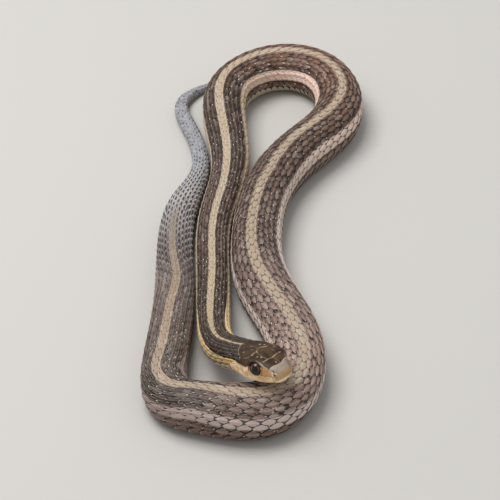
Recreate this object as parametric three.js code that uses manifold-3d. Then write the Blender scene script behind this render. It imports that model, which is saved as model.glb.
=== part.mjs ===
// A common garter snake at life size, still, lying in a loose open coil with its chin on its own body.
// Millimetres, Z up, floor at z = 0. Distances along the snake run in plan from the snout to the tail tip.

import * as THREE from "three";
import { mergeVertices } from "three/addons/utils/BufferGeometryUtils.js";
import Module from "manifold-3d";

// The spine: control points of a cubic B-spline, each x, y and the height of the belly above the floor.
const ROUTE = [
  // head, chin over the bend of the body, and neck coming down to the floor
  [10.2, -93.2, 18.8],
  [4.3, -88.9, 17.2],
  [-2.8, -80.6, 14.7],
  [-14, -72.5, 10.5],
  [-15, -50, 2],
  // first length of the trunk, straight away from the head
  [-15.5, -20.5, 0],
  [-16.5, 8, 0],
  [-7.5, 34.5, 0],
  [-12.5, 60.5, 0],
  [-12.5, 82, 0],
  // open loop to the right
  [2.5, 96, 0],
  [19.5, 95.5, 0],
  [31, 82.5, 0],
  [32, 60, 0],
  // second length, back beside the first
  [15.5, 43.5, 0],
  [3, 23, 0],
  [-0.5, -3, 0],
  [-0.5, -29, 0],
  [11.5, -53.5, 0],
  // bend under the chin, short cross length and tight bend
  [15, -71.5, 0],
  [10.5, -88, 0],
  [-0.5, -96, 0],
  [-16.5, -92.5, 0],
  [-31, -89, 0],
  [-32, -73, 0],
  // third length, beside the first on its other side
  [-28, -42, 0],
  [-29.5, -12.5, 0],
  [-28.5, 13.5, 0],
  // tail, ending behind the loop
  [-18, 37.5, 0],
  [-24, 62.5, 0],
  [-32.5, 81, 0],
  [-13, 95.5, 0],
  [1, 105, 0],
];

// Half width of neck, trunk and tail: distance from the snout, half width.
const HALF_WIDTH = [
  [26, 5.8],
  [38, 5.8],
  [60, 6],
  [100, 6.15],
  [125, 6.5],
  [145, 7.3],
  [170, 8.2],
  [200, 8.5],
  [230, 9],
  [300, 9],
  [335, 9.1],
  [355, 9.6],
  [380, 9.7],
  [432, 9.3],
  [450, 8.5],
  [470, 8],
  [500, 7.4],
  [530, 6.6],
  [550, 6.2],
  [562, 5.6],
  [574, 4.4],
  [586, 3.5],
  [600, 3.2],
  [618, 3],
  [632, 2.3],
  [642, 1.5],
  [664, 0.5],
];

// Head: distance from the snout, half width at the lips, crown above and chin below the axis.
const HEAD_SIZES = [
  [0, 3.6, 2.3, 2.5],
  [3, 4.8, 3.5, 3.5],
  [6, 6.2, 4.5, 4],
  [9, 7.4, 5.2, 4.2],
  [12, 7.8, 5.5, 4.4],
  [16, 7.2, 5.2, 4.7],
  [20, 6.3, 5, 5],
  [24, 5.7, 5.2, 5.3],
  [27, 5.8, 5.6, 5.4],
];

const HEAD_LENGTH = 26;
// Degrees by which the head rolls towards the snake's right.
const HEAD_ROLL = -4;
const SNOUT_ROUNDING = 2.4;
const VENT = 540;
// Gap between neighbouring solids.
const CUT = 0.3;

// Sections: height of the back and depth of the belly flat for a half width of 1, and squareness.
const BACK = 0.97;
const BELLY = 0.93;
const BACK_SQUARENESS = 2.15;
const FLANK_SQUARENESS = 2.6;
const CROWN_SQUARENESS = 3.3;
const JAW_SQUARENESS = 2.5;
// Degrees from the top of the back round to the edge of the belly flat.
const FLAT_EDGE = 151.4;
const TRUNK_FACETS = 16;
const HEAD_FACETS = 28;
// Sections of the head: a few close together round the snout's end, then evenly on to the neck.
const SNOUT_SECTIONS = [0.06, 0.35, 0.9, 1.7];
const HEAD_SPANS = 19;

// Eyes: place from the snout, out from the axis and above it; the mouth line is below the axis.
const EYE_BACK = 8.6;
const EYE_OUT = 5.35;
const EYE_UP = 2.05;
const EYE_RADIUS = 2.3;
const EYE_FACETS = [20, 14];
const MOUTH_DEPTH = 1.9;

// Neck, trunk and tail, each cut off square to the spine: name, start, end and step between sections.
const LENGTHS = [
  ["neck", HEAD_LENGTH, 62, 3.6],
  ["trunk_1", 62, 116, 6],
  ["trunk_2", 116, 172, 5.6],
  ["trunk_3", 172, 206, 3.8],
  ["trunk_4", 206, 240, 3.8],
  ["trunk_5", 240, 290, 5],
  ["trunk_6", 290, 340, 5.6],
  ["trunk_7", 340, 392, 5.6],
  ["trunk_8", 392, 430, 3.8],
  ["trunk_9", 430, 455, 3.2],
  ["trunk_10", 455, 482, 3.2],
  ["trunk_11", 482, VENT, 6],
  ["tail_1", VENT, 598, 5.3],
  ["tail_2", 598, 632, 3.8],
  ["tail_3", 632, 662, 3.8],
];

const brownBack = new THREE.MeshStandardMaterial({ color: 0x6b5a4c, roughness: 0.55, metalness: 0 });
const oliveHead = new THREE.MeshStandardMaterial({ color: 0x6a5f49, roughness: 0.45, metalness: 0 });
const paleJaw = new THREE.MeshStandardMaterial({ color: 0xc9b58c, roughness: 0.5, metalness: 0 });
const greyTail = new THREE.MeshStandardMaterial({ color: 0x8d8c8f, roughness: 0.5, metalness: 0 });
const redEye = new THREE.MeshStandardMaterial({ color: 0x5a2418, roughness: 0.1, metalness: 0 });

// Value in one column of a table at a distance, eased through its rows.
function along(table, distance, column = 1) {
  const last = table.length - 1;
  let row = 0;
  while (row < last - 1 && distance > table[row + 1][0]) row += 1;
  const slope = (k) => {
    const before = table[Math.max(k - 1, 0)];
    const after = table[Math.min(k + 1, last)];
    return (after[column] - before[column]) / (after[0] - before[0]);
  };
  const [from, to] = [table[row], table[row + 1]];
  const span = to[0] - from[0];
  const t = THREE.MathUtils.clamp((distance - from[0]) / span, 0, 1);
  return (
    from[column] * (1 + 2 * t) * (1 - t) ** 2 +
    to[column] * (3 - 2 * t) * t ** 2 +
    span * (slope(row) * t * (1 - t) ** 2 - slope(row + 1) * (1 - t) * t ** 2)
  );
}

// Point of the cubic B-spline through ROUTE, whose ends run straight through its end points.
function routePoint(parameter) {
  const controls = ROUTE.map((row) => new THREE.Vector3(...row));
  const last = controls.length - 1;
  controls.unshift(controls[0].clone().multiplyScalar(2).sub(controls[1]));
  controls.push(controls[last + 1].clone().multiplyScalar(2).sub(controls[last]));
  const k = Math.min(Math.floor(parameter), last - 1);
  const t = parameter - k;
  const weights = [
    (1 - t) ** 3,
    3 * t ** 3 - 6 * t ** 2 + 4,
    -3 * t ** 3 + 3 * t ** 2 + 3 * t + 1,
    t ** 3,
  ];
  const point = new THREE.Vector3();
  weights.forEach((weight, i) => point.addScaledVector(controls[k + i], weight / 6));
  return point;
}

// The route walked once in short steps, so that a distance along it gives a place.
const STEPS_PER_SPAN = 60;
const walked = [];
for (let i = 0; i <= (ROUTE.length - 1) * STEPS_PER_SPAN; i += 1) {
  const point = routePoint(i / STEPS_PER_SPAN);
  const before = walked[i - 1];
  const gone = before ? Math.hypot(point.x - before.point.x, point.y - before.point.y) : 0;
  walked.push({ point, distance: before ? before.distance + gone : 0 });
}

function halfWidth(distance) {
  return along(HALF_WIDTH, Math.max(distance, HALF_WIDTH[0][0]));
}

// Middle of the body at a distance from the snout, at its height above the floor.
function spine(distance) {
  let i = 1;
  while (i < walked.length - 1 && walked[i].distance < distance) i += 1;
  const [from, to] = [walked[i - 1], walked[i]];
  const t = (distance - from.distance) / (to.distance - from.distance);
  const point = from.point.clone().lerp(to.point, t);
  point.z += BELLY * halfWidth(distance);
  return point;
}

// Place and directions of the section at a distance: right and up as the snake would say them.
function station(distance, moved = 0) {
  const reach = 1.5;
  const middle = spine(distance);
  const tailward = spine(distance + reach).sub(spine(distance - reach)).normalize();
  middle.addScaledVector(tailward, moved);
  const right = new THREE.Vector3(0, 0, 1).cross(tailward).normalize();
  const up = new THREE.Vector3().crossVectors(tailward, right);
  return { middle, right, up };
}

// Radius of a unit rounded square towards an angle from the top.
function squircle(angle, squareness) {
  const sine = Math.abs(Math.sin(angle));
  const cosine = Math.abs(Math.cos(angle));
  return (sine ** squareness + cosine ** squareness) ** (-1 / squareness);
}

function place({ middle, right, up }, out, height) {
  return middle.clone().addScaledVector(right, out).addScaledVector(up, height);
}

// One section of the trunk: round at the back, fuller at the flanks, flat where it lies on the floor.
// A section beside a cut is moved a little along the snake, so that the two faces stay parallel.
function trunkSection(distance, moved = 0) {
  const here = station(distance, moved);
  const half = halfWidth(distance);
  const ring = [];
  for (let k = 0; k <= TRUNK_FACETS; k += 1) {
    const angle = THREE.MathUtils.degToRad(FLAT_EDGE) * ((2 * k) / TRUNK_FACETS - 1);
    const fullness = (1 - Math.cos(angle)) / 2;
    const squareness = THREE.MathUtils.lerp(BACK_SQUARENESS, FLANK_SQUARENESS, fullness);
    const radius = squircle(angle, squareness);
    const height = Math.cos(angle) * radius * (Math.cos(angle) > 0 ? BACK : 1);
    ring.push(place(here, half * radius * Math.sin(angle), half * Math.max(height, -BELLY)));
  }
  return ring;
}

// A place in the head, out and up by the head's own rolled directions.
function headPlace({ middle, right, up }, out, height) {
  const roll = THREE.MathUtils.degToRad(HEAD_ROLL);
  const [cosine, sine] = [Math.cos(roll), Math.sin(roll)];
  return place({ middle, right, up }, out * cosine + height * sine, height * cosine - out * sine);
}

// One section of the head: flat crown over full cheeks, rounder below the mouth.
function headSection(distance, moved = 0) {
  const here = station(distance, moved);
  const nose = Math.min(distance / SNOUT_ROUNDING, 1);
  const blunt = Math.sqrt(1 - (1 - nose) ** 2);
  const [half, crown, chin] = [1, 2, 3].map((column) => blunt * along(HEAD_SIZES, distance, column));
  const ring = [];
  for (let k = 0; k < HEAD_FACETS; k += 1) {
    const angle = Math.PI * ((2 * k) / HEAD_FACETS - 1);
    const above = Math.cos(angle) > 0;
    const radius = squircle(angle, above ? CROWN_SQUARENESS : JAW_SQUARENESS);
    const height = Math.cos(angle) * radius * (above ? crown : chin);
    ring.push(headPlace(here, half * radius * Math.sin(angle), height));
  }
  return ring;
}

// A closed skin over a row of sections, each a ring of as many points.
function loft(rings) {
  const points = rings.flat();
  const size = rings[0].length;
  const faces = [];
  for (let row = 0; row < rings.length - 1; row += 1) {
    for (let k = 0; k < size; k += 1) {
      const next = (k + 1) % size;
      const [a, b] = [row * size + k, row * size + next];
      faces.push(a, b + size, b, a, a + size, b + size);
    }
  }
  for (const [row, turned] of [[0, false], [rings.length - 1, true]]) {
    const middle = points.length;
    const centre = new THREE.Vector3();
    rings[row].forEach((point) => centre.addScaledVector(point, 1 / size));
    points.push(centre);
    for (let k = 0; k < size; k += 1) {
      const [a, b] = [row * size + k, row * size + ((k + 1) % size)];
      faces.push(middle, turned ? b : a, turned ? a : b);
    }
  }
  const geometry = new THREE.BufferGeometry().setFromPoints(points);
  geometry.setIndex(faces);
  return geometry;
}

const wasm = await Module();
wasm.setup();

function solidOf(geometry) {
  const bare = geometry.clone();
  bare.deleteAttribute("normal");
  bare.deleteAttribute("uv");
  const samePlace = 1e-4;
  const merged = mergeVertices(bare, samePlace);
  return new wasm.Manifold(
    new wasm.Mesh({
      numProp: 3,
      vertProperties: merged.attributes.position.array,
      triVerts: new Uint32Array(merged.index.array),
    }),
  );
}

function geometryOf(solid) {
  const mesh = solid.getMesh();
  const geometry = new THREE.BufferGeometry();
  geometry.setAttribute("position", new THREE.BufferAttribute(mesh.vertProperties, 3));
  geometry.setIndex(new THREE.BufferAttribute(mesh.triVerts, 1));
  return geometry;
}

const snake = new THREE.Group();

function addPiece(name, geometry, material) {
  geometry.computeVertexNormals();
  const piece = new THREE.Mesh(geometry, material);
  piece.name = name;
  snake.add(piece);
}

// The head as one solid, then eye sockets and the line of the closed mouth cut in it.
const headRings = SNOUT_SECTIONS.map((distance) => headSection(distance));
for (let k = 0; k < HEAD_SPANS; k += 1) {
  headRings.push(headSection(THREE.MathUtils.lerp(SNOUT_ROUNDING, HEAD_LENGTH, k / HEAD_SPANS)));
}
headRings.push(headSection(HEAD_LENGTH, -CUT / 2));
let head = solidOf(loft(headRings));

const eyePlace = station(EYE_BACK);
for (const [name, side] of [["eye_right", 1], ["eye_left", -1]]) {
  const centre = headPlace(eyePlace, side * EYE_OUT, EYE_UP);
  const ball = new THREE.SphereGeometry(EYE_RADIUS, ...EYE_FACETS).translate(...centre);
  const socket = new THREE.SphereGeometry(EYE_RADIUS + CUT, ...EYE_FACETS).translate(...centre);
  head = head.subtract(solidOf(socket));
  addPiece(name, ball, redEye);
}

// A wide block between two heights in the head's own directions, used to part the jaw.
function headBlock(lowest, highest) {
  const [front, rear] = [spine(0), spine(HEAD_LENGTH)];
  const tailward = rear.clone().sub(front).normalize();
  const level = new THREE.Vector3(0, 0, 1).cross(tailward).normalize();
  const upright = new THREE.Vector3().crossVectors(tailward, level);
  const directions = { middle: new THREE.Vector3(), right: level, up: upright };
  const [right, up] = [headPlace(directions, 1, 0), headPlace(directions, 0, 1)];
  const size = 3 * HEAD_LENGTH;
  const block = new THREE.BoxGeometry(size, highest - lowest, size);
  const turn = new THREE.Matrix4().makeBasis(right, up, tailward);
  return block
    .applyMatrix4(turn)
    .translate(...front.clone().addScaledVector(up, (highest + lowest) / 2));
}

const farOff = 2 * HEAD_LENGTH;
const upperHead = head.intersect(solidOf(headBlock(-MOUTH_DEPTH + CUT / 2, farOff)));
const lowerJaw = head.intersect(solidOf(headBlock(-farOff, -MOUTH_DEPTH - CUT / 2)));
addPiece("head", geometryOf(upperHead), oliveHead);
addPiece("lower_jaw", geometryOf(lowerJaw), paleJaw);

// Neck, trunk and tail, each from just after one cut to just before the next.
for (const [name, from, to, step] of LENGTHS) {
  const spans = Math.round((to - from) / step);
  const rings = [];
  for (let k = 0; k <= spans; k += 1) {
    const moved = (k === 0 ? CUT / 2 : 0) - (k === spans ? CUT / 2 : 0);
    rings.push(trunkSection(THREE.MathUtils.lerp(from, to, k / spans), moved));
  }
  addPiece(name, loft(rings), name.startsWith("tail") ? greyTail : brownBack);
}

export default snake;
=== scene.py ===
import bpy
import numpy as np
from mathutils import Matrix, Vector


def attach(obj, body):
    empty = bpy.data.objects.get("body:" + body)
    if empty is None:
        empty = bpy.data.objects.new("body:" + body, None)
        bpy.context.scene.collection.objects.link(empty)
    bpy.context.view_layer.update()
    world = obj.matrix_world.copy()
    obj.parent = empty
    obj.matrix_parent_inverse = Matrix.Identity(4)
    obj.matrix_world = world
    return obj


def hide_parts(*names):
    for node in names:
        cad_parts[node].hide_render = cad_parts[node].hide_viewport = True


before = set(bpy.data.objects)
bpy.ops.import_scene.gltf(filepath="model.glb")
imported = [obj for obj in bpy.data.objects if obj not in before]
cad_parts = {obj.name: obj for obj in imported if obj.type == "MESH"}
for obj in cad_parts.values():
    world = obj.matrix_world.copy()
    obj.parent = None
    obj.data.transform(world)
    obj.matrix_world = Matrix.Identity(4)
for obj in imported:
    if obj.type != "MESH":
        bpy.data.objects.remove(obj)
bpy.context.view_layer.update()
bpy.ops.object.select_all(action="DESELECT")
chance = np.random.default_rng(19)

# Skin
# One unbroken hide from snout to tail tip. On the head its plates are modelled in it, with their seams, the
# lips, the nostrils and the rims round the eyes. From the nape back it lies dark beneath the scales, which
# are rooted in it.

# Spine: control points of a cubic B-spline, each x, y and the height of the belly above the floor.
ROUTE = np.array([
    # head, chin over the bend of the body, and neck coming down to the floor
    (0.0102, -0.0932, 0.0188), (0.0043, -0.0889, 0.0172), (-0.0028, -0.0806, 0.0147),
    (-0.014, -0.0725, 0.0105), (-0.015, -0.05, 0.002),
    # first length of the trunk, straight away from the head
    (-0.0155, -0.0205, 0), (-0.0165, 0.008, 0), (-0.0075, 0.0345, 0), (-0.0125, 0.0605, 0),
    (-0.0125, 0.082, 0),
    # open loop to the right
    (0.0025, 0.096, 0), (0.0195, 0.0955, 0), (0.031, 0.0825, 0), (0.032, 0.06, 0),
    # second length, back beside the first
    (0.0155, 0.0435, 0), (0.003, 0.023, 0), (-0.0005, -0.003, 0), (-0.0005, -0.029, 0),
    (0.0115, -0.0535, 0),
    # bend under the chin, short cross length and tight bend
    (0.015, -0.0715, 0), (0.0105, -0.088, 0), (-0.0005, -0.096, 0), (-0.0165, -0.0925, 0),
    (-0.031, -0.089, 0), (-0.032, -0.073, 0),
    # third length, beside the first on its other side
    (-0.028, -0.042, 0), (-0.0295, -0.0125, 0), (-0.0285, 0.0135, 0),
    # tail, ending behind the loop
    (-0.018, 0.0375, 0), (-0.024, 0.0625, 0), (-0.0325, 0.081, 0), (-0.013, 0.0955, 0), (0.001, 0.105, 0),
])

# Half width of neck, trunk and tail: distance from the snout, half width.
HALF_WIDTH = np.array([
    (0.026, 0.0058), (0.038, 0.0058), (0.06, 0.006), (0.1, 0.00615), (0.125, 0.0065), (0.145, 0.0073),
    (0.17, 0.0082), (0.2, 0.0085), (0.23, 0.009), (0.3, 0.009), (0.335, 0.0091), (0.355, 0.0096),
    (0.38, 0.0097), (0.432, 0.0093), (0.45, 0.0085), (0.47, 0.008), (0.5, 0.0074), (0.53, 0.0066),
    (0.55, 0.0062), (0.562, 0.0056), (0.574, 0.0044), (0.586, 0.0035), (0.6, 0.0032), (0.618, 0.003),
    (0.632, 0.0023), (0.642, 0.0015), (0.664, 0.0005),
])

# Head: distance from the snout, half width at the lips, crown above and chin below the axis.
HEAD_SIZES = np.array([
    (0, 0.0036, 0.0023, 0.0025), (0.003, 0.0048, 0.0035, 0.0035), (0.006, 0.0062, 0.0045, 0.004),
    (0.009, 0.0074, 0.0052, 0.0042), (0.012, 0.0078, 0.0055, 0.0044), (0.016, 0.0072, 0.0052, 0.0047),
    (0.02, 0.0063, 0.005, 0.005), (0.024, 0.0057, 0.0052, 0.0053), (0.027, 0.0058, 0.0056, 0.0054),
])

# How far the middle of the back leans over to the snake's right: distance from the snout, degrees.
LEAN = np.array([
    (0, -3), (0.012, -4), (0.019, -4), (0.024, 8), (0.03, 14), (0.055, 12), (0.075, 3), (0.095, 2),
    (0.12, -1), (0.14, 10), (0.165, 13), (0.176, 14.5), (0.185, 14), (0.192, 10), (0.198, 6.5),
    (0.206, 2.5), (0.214, 0), (0.243, 8), (0.258, -2), (0.278, -8), (0.3, -1), (0.31, -5), (0.32, -8),
    (0.33, -11), (0.345, -12), (0.362, -11), (0.38, -5), (0.39, 0), (0.41, 21), (0.422, 10), (0.431, 1),
    (0.44, -5), (0.449, -10), (0.464, 19), (0.476, 9), (0.5, 5), (0.513, -7), (0.53, 7), (0.56, 8),
    (0.664, 0),
])

TAIL_TIP = 0.6618
SNOUT_ROUNDING = 0.0024
BACK = 0.97
BELLY = 0.93
BACK_SQUARENESS = 2.15
FLANK_SQUARENESS = 2.6
CROWN_SQUARENESS = 3.3
JAW_SQUARENESS = 2.5
# Degrees by which the head rolls to the snake's right. Below 0 it rolls to the left.
HEAD_ROLL = -4
# The head's form eases into the neck's between these distances.
NECK_FROM = 0.022
NECK_TO = 0.03


def smooth(low, high, value):
    """0 below low, 1 above high, eased between."""
    t = np.clip((value - low) / (high - low), 0, 1)
    return t * t * (3 - 2 * t)


def blend(first, second, share):
    return first + (second - first) * share


def eased(table, distance, column=1):
    """One column of a table at some distances, eased through its rows."""
    rows, values = table[:, 0], table[:, column]
    last = len(rows) - 1
    before = np.maximum(np.arange(last + 1) - 1, 0)
    after = np.minimum(np.arange(last + 1) + 1, last)
    slope = (values[after] - values[before]) / (rows[after] - rows[before])
    k = np.clip(np.searchsorted(rows, distance) - 1, 0, last - 1)
    span = rows[k + 1] - rows[k]
    t = np.clip((distance - rows[k]) / span, 0, 1)
    lines = values[k] * (1 + 2 * t) * (1 - t) ** 2 + values[k + 1] * (3 - 2 * t) * t**2
    return lines + span * (slope[k] * t * (1 - t) ** 2 - slope[k + 1] * (1 - t) * t**2)


# The route walked once in short steps, so that a distance along it gives a place.
STEPS_PER_SPAN = 60
controls = np.vstack([2 * ROUTE[0] - ROUTE[1], ROUTE, 2 * ROUTE[-1] - ROUTE[-2]])
parameter = np.linspace(0, len(ROUTE) - 1, (len(ROUTE) - 1) * STEPS_PER_SPAN + 1)
span_number = np.minimum(parameter.astype(int), len(ROUTE) - 2)
t = parameter - span_number
weights = np.stack([(1 - t) ** 3, 3 * t**3 - 6 * t**2 + 4, -3 * t**3 + 3 * t**2 + 3 * t + 1, t**3], 1) / 6
walked = sum(weights[:, i : i + 1] * controls[span_number + i] for i in range(4))
gone = np.hypot(*np.diff(walked[:, :2], axis=0).T)
walked_distance = np.concatenate([[0], np.cumsum(gone)])


def half_width(distance):
    return eased(HALF_WIDTH, np.maximum(distance, HALF_WIDTH[0, 0]))


def spine(distance):
    """Middle of the body at its height above the floor."""
    first = (walked[1] - walked[0]) / walked_distance[1]
    place = np.stack([np.interp(distance, walked_distance, walked[:, i]) for i in range(3)], -1)
    place = place + np.minimum(distance, 0)[..., None] * first
    place[..., 2] += BELLY * half_width(distance)
    return place


def unit(vectors):
    return vectors / np.linalg.norm(vectors, axis=-1, keepdims=True)


def station(distance):
    """Middle of the section, and the directions that the snake would call right, up and tailward."""
    reach = 0.0015
    tailward = unit(spine(distance + reach) - spine(distance - reach))
    level = unit(np.cross([0, 0, 1], tailward))
    upright = np.cross(tailward, level)
    roll = np.radians(HEAD_ROLL) * (1 - smooth(NECK_FROM, NECK_TO, distance))[..., None]
    right = level * np.cos(roll) - upright * np.sin(roll)
    return spine(distance), right, level * np.sin(roll) + upright * np.cos(roll), tailward


def squircle(angle, squareness):
    """Radius of a unit rounded square towards an angle from the top."""
    sides = np.abs(np.sin(angle)) ** squareness + np.abs(np.cos(angle)) ** squareness
    return sides ** (-1 / squareness)


def section(distance, angle, above):
    """Out to the right and up from the middle, for an angle from the top and a height over the surface."""
    sine, cosine = np.sin(angle), np.cos(angle)
    fullness = (1 - cosine) / 2
    radius = squircle(angle, blend(BACK_SQUARENESS, FLANK_SQUARENESS, fullness))
    half = half_width(distance) + above
    trunk_up = half * np.maximum(cosine * radius * np.where(cosine > 0, BACK, 1), -BELLY)
    trunk_out = half * radius * sine
    nose = np.clip(distance / SNOUT_ROUNDING, 0, 1)
    blunt = np.sqrt(1 - (1 - nose) ** 2)
    wide, crown, chin = [blunt * (eased(HEAD_SIZES, distance, column) + above) for column in (1, 2, 3)]
    radius = squircle(angle, np.where(cosine > 0, CROWN_SQUARENESS, JAW_SQUARENESS))
    head_up = cosine * radius * np.where(cosine > 0, crown, chin)
    head_out = wide * radius * sine
    trunk = smooth(NECK_FROM, NECK_TO, distance)
    return blend(head_out, trunk_out, trunk), blend(head_up, trunk_up, trunk)


def on_body(distance, around, above):
    """Places by how far they are from the snout, how many degrees round from the middle of the back to the
    snake's right, and how high they stand over the body's surface."""
    distance, around, above = np.broadcast_arrays(distance, around, above)
    angle = np.radians(around + eased(LEAN, distance))
    out, up = section(distance, angle, above)
    middle, right, upward, _ = station(distance)
    return middle + right * out[..., None] + upward * up[..., None]


def dress(mesh, marks, material):
    """Number attributes given by point, smooth faces and a material."""
    for title, values in marks.items():
        attribute = mesh.attributes.new(title, "FLOAT", "POINT")
        attribute.data.foreach_set("value", values.astype(np.float32))
    mesh.polygons.foreach_set("use_smooth", np.ones(len(mesh.polygons), bool))
    mesh.materials.append(material)


def as_piece(name, places, faces, maps, marks, material):
    """A mesh object of these points and faces, with uv maps and number attributes given by point."""
    mesh = bpy.data.meshes.new(name)
    mesh.from_pydata(places.tolist(), [], faces)
    corners = np.zeros(len(mesh.loops), int)
    mesh.loops.foreach_get("vertex_index", corners)
    for title, places_2d in maps.items():
        layer = mesh.uv_layers.new(name=title)
        layer.data.foreach_set("uv", places_2d[corners].astype(np.float32).ravel())
    dress(mesh, marks, material)
    mesh.update()
    piece = bpy.data.objects.new(name, mesh)
    bpy.context.scene.collection.objects.link(piece)
    return piece


def srgb(red, green, blue):
    """A colour as seen, 0 to 255, turned to the renderer's light values."""
    seen = np.array([red, green, blue]) / 255
    light = np.where(seen <= 0.04045, seen / 12.92, ((seen + 0.055) / 1.055) ** 2.4)
    return (*light.tolist(), 1)


class Wire:
    """An output of a shader node. Sums with it add Math nodes."""

    def __init__(self, paint, socket):
        self.paint = paint
        self.socket = socket

    def __add__(self, other):
        return self.paint.maths("ADD", self, other)

    __radd__ = __add__

    def __sub__(self, other):
        return self.paint.maths("SUBTRACT", self, other)

    def __rsub__(self, other):
        return self.paint.maths("SUBTRACT", other, self)

    def __mul__(self, other):
        return self.paint.maths("MULTIPLY", self, other)

    __rmul__ = __mul__

    def __truediv__(self, other):
        return self.paint.maths("DIVIDE", self, other)

    def __pow__(self, other):
        return self.paint.maths("POWER", self, other)

    def __abs__(self):
        return self.paint.maths("ABSOLUTE", self, 0)


class Paint:
    """The node tree of one material."""

    def __init__(self, name):
        self.material = bpy.data.materials.new(name)
        self.material.use_nodes = True
        self.nodes = self.material.node_tree.nodes
        self.links = self.material.node_tree.links
        self.shader = self.nodes["Principled BSDF"]
        self.colour = None

    def add(self, kind, settings, sockets, output=0):
        node = self.nodes.new("ShaderNode" + kind)
        stops = settings.pop("stops", None)
        for title, value in settings.items():
            setattr(node, title, value)
        if stops:
            ramp = node.color_ramp
            while len(ramp.elements) < len(stops):
                ramp.elements.new(1)
            for element, (place, colour) in zip(ramp.elements, stops):
                element.position = place
                element.color = colour
        for title, value in sockets.items():
            self.feed(node.inputs[title], value)
        return Wire(self, node.outputs[output])

    def feed(self, socket, value):
        if isinstance(value, Wire):
            self.links.new(value.socket, socket)
        else:
            socket.default_value = value

    def maths(self, operation, first, second):
        return self.add("Math", {"operation": operation}, {0: first, 1: second})

    def larger(self, first, second):
        return self.maths("MAXIMUM", first, second)

    def mix(self, share, first, second):
        return self.add("Mix", {"data_type": "RGBA"}, {0: share, 6: first, 7: second}, 2)

    def tint(self, share, colour):
        """Lays a colour over what is painted so far."""
        self.colour = self.mix(share, self.colour, colour)

    def ramp(self, low, high, value):
        """0 where value is below low, 1 above high, eased between."""
        sockets = {"Value": value, "From Min": low, "From Max": high}
        return self.add("MapRange", {"interpolation_type": "SMOOTHSTEP"}, sockets)

    def past(self, edge, softness, value):
        return self.ramp(edge - softness, edge + softness, value)

    def noise(self, place, scale, detail=2):
        return self.add("TexNoise", {}, {"Vector": place, "Scale": scale, "Detail": detail})

    def number(self, name):
        return self.add("Attribute", {"attribute_name": name}, {}, 2)

    def map_axes(self, name):
        """The two axes of a uv map, each 0 to 1."""
        place = self.add("UVMap", {"uv_map": name}, {})
        return [self.add("SeparateXYZ", {}, {0: place}, axis) for axis in (0, 1)]

    def spot_places(self):
        """Object coordinates, for patterns that do not follow the surface."""
        return self.add("TexCoord", {}, {}, 3)

    def wear(self, looks):
        """Sets the shader's inputs."""
        for title, value in looks.items():
            self.feed(self.shader.inputs[title], value)

    def bump(self, strength, distance, height):
        return self.add("Bump", {}, {"Strength": strength, "Distance": distance, "Height": height})


# Each list goes from snout to tail tip: share of the length, and the red, green and blue seen there.
BACK_STRIPE = [
    (0.03, 162, 142, 112), (0.08, 172, 153, 124), (0.16, 176, 160, 138), (0.32, 174, 154, 133),
    (0.5, 160, 143, 122), (0.64, 164, 147, 128), (0.76, 150, 130, 110), (0.83, 132, 120, 108),
]
# The flank's dark row at 0.685 of the length, at the bend, is painted shadow.
FLANK_AND_SHADOW = [
    (0.03, 50, 34, 20), (0.07, 66, 48, 35), (0.16, 92, 72, 62), (0.26, 70, 50, 36), (0.33, 124, 86, 68),
    (0.42, 98, 76, 64), (0.52, 104, 83, 74), (0.62, 166, 138, 126), (0.685, 64, 50, 42), (0.72, 92, 76, 68),
    (0.77, 108, 92, 86), (0.83, 128, 118, 114),
]
SIDE_STRIPE = [
    (0.03, 204, 168, 106), (0.055, 216, 186, 134), (0.12, 186, 166, 144), (0.26, 190, 168, 140),
    (0.33, 240, 208, 192), (0.46, 200, 182, 168), (0.56, 214, 198, 188), (0.64, 208, 188, 182),
    (0.7, 140, 120, 112), (0.76, 112, 96, 90), (0.83, 150, 140, 134),
]
BELLY_EDGE = [
    (0.03, 216, 200, 172), (0.07, 180, 162, 138), (0.13, 130, 112, 96), (0.32, 108, 78, 62),
    (0.5, 150, 132, 118), (0.66, 116, 90, 80), (0.83, 120, 108, 102),
]
BELLY_PALE = srgb(184, 172, 150)
# Near black: the hide's own black, and also painted shade on scales and plates, in the nostrils and in the
# mouth's groove.
BLACK_AND_SHADE = srgb(22, 16, 13)
FLECK_PALE = srgb(226, 214, 200)
# The tail's silvery greys are partly its own pale skin and partly painted sheen off its scales.
TAIL_SILVER_AND_SHEEN = srgb(168, 163, 162)
FAR_TAIL_SILVER_AND_SHEEN = srgb(146, 147, 152)
TAIL_DARK = srgb(44, 38, 39)

# Degrees round from the middle of the back to the edges of the stripes and to the belly's plates.
BACK_STRIPE_EDGE = 11.6
BACK_STRIPE_NAPE = 4.8
SIDE_FROM = 62
SIDE_ON_NECK = 46
SIDE_BEHIND_MOUTH = 68
SIDE_TO = 92
SIDE_TO_ON_NECK = 78
BELLY_FROM = 116
# The back's stripe is slimmer by this much along the loop, and the side stripe reaches lower by this much
# just behind the mouth.
BACK_STRIPE_SLIMMER = 2.2
SIDE_DEEPER = 18
# Half the width over which an edge of a stripe fades, and how far the edges wander.
UPPER_SOFTNESS = 1.2
LOWER_SOFTNESS = 2
EDGE_WANDER = 5
# The flank is black just above the side stripe, and the belly turns pale below the edge of its plates:
# where each begins and is full, in degrees from that edge.
EDGING = (8, 3)
BELLY_PALES = (32, 60)

# Each change along the body comes in between two shares of its length.
BACK_STRIPE_WIDENS = (0.03, 0.085)
BACK_STRIPE_SLIMS = (0.25, 0.32)
BACK_STRIPE_WIDENS_AGAIN = (0.44, 0.52)
BACK_STRIPE_ENDS = (0.81, 0.85)
SIDE_LEAVES_MOUTH = (0.03, 0.058)
SIDE_DEEP_PART_ENDS = (0.03, 0.052)
SIDE_LEAVES_NECK = (0.04, 0.105)
EDGING_ENDS = (0.3, 0.5)
SILVER_STARTS = (0.79, 0.85)
FAR_TAIL_STARTS = (0.85, 0.89)


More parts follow.
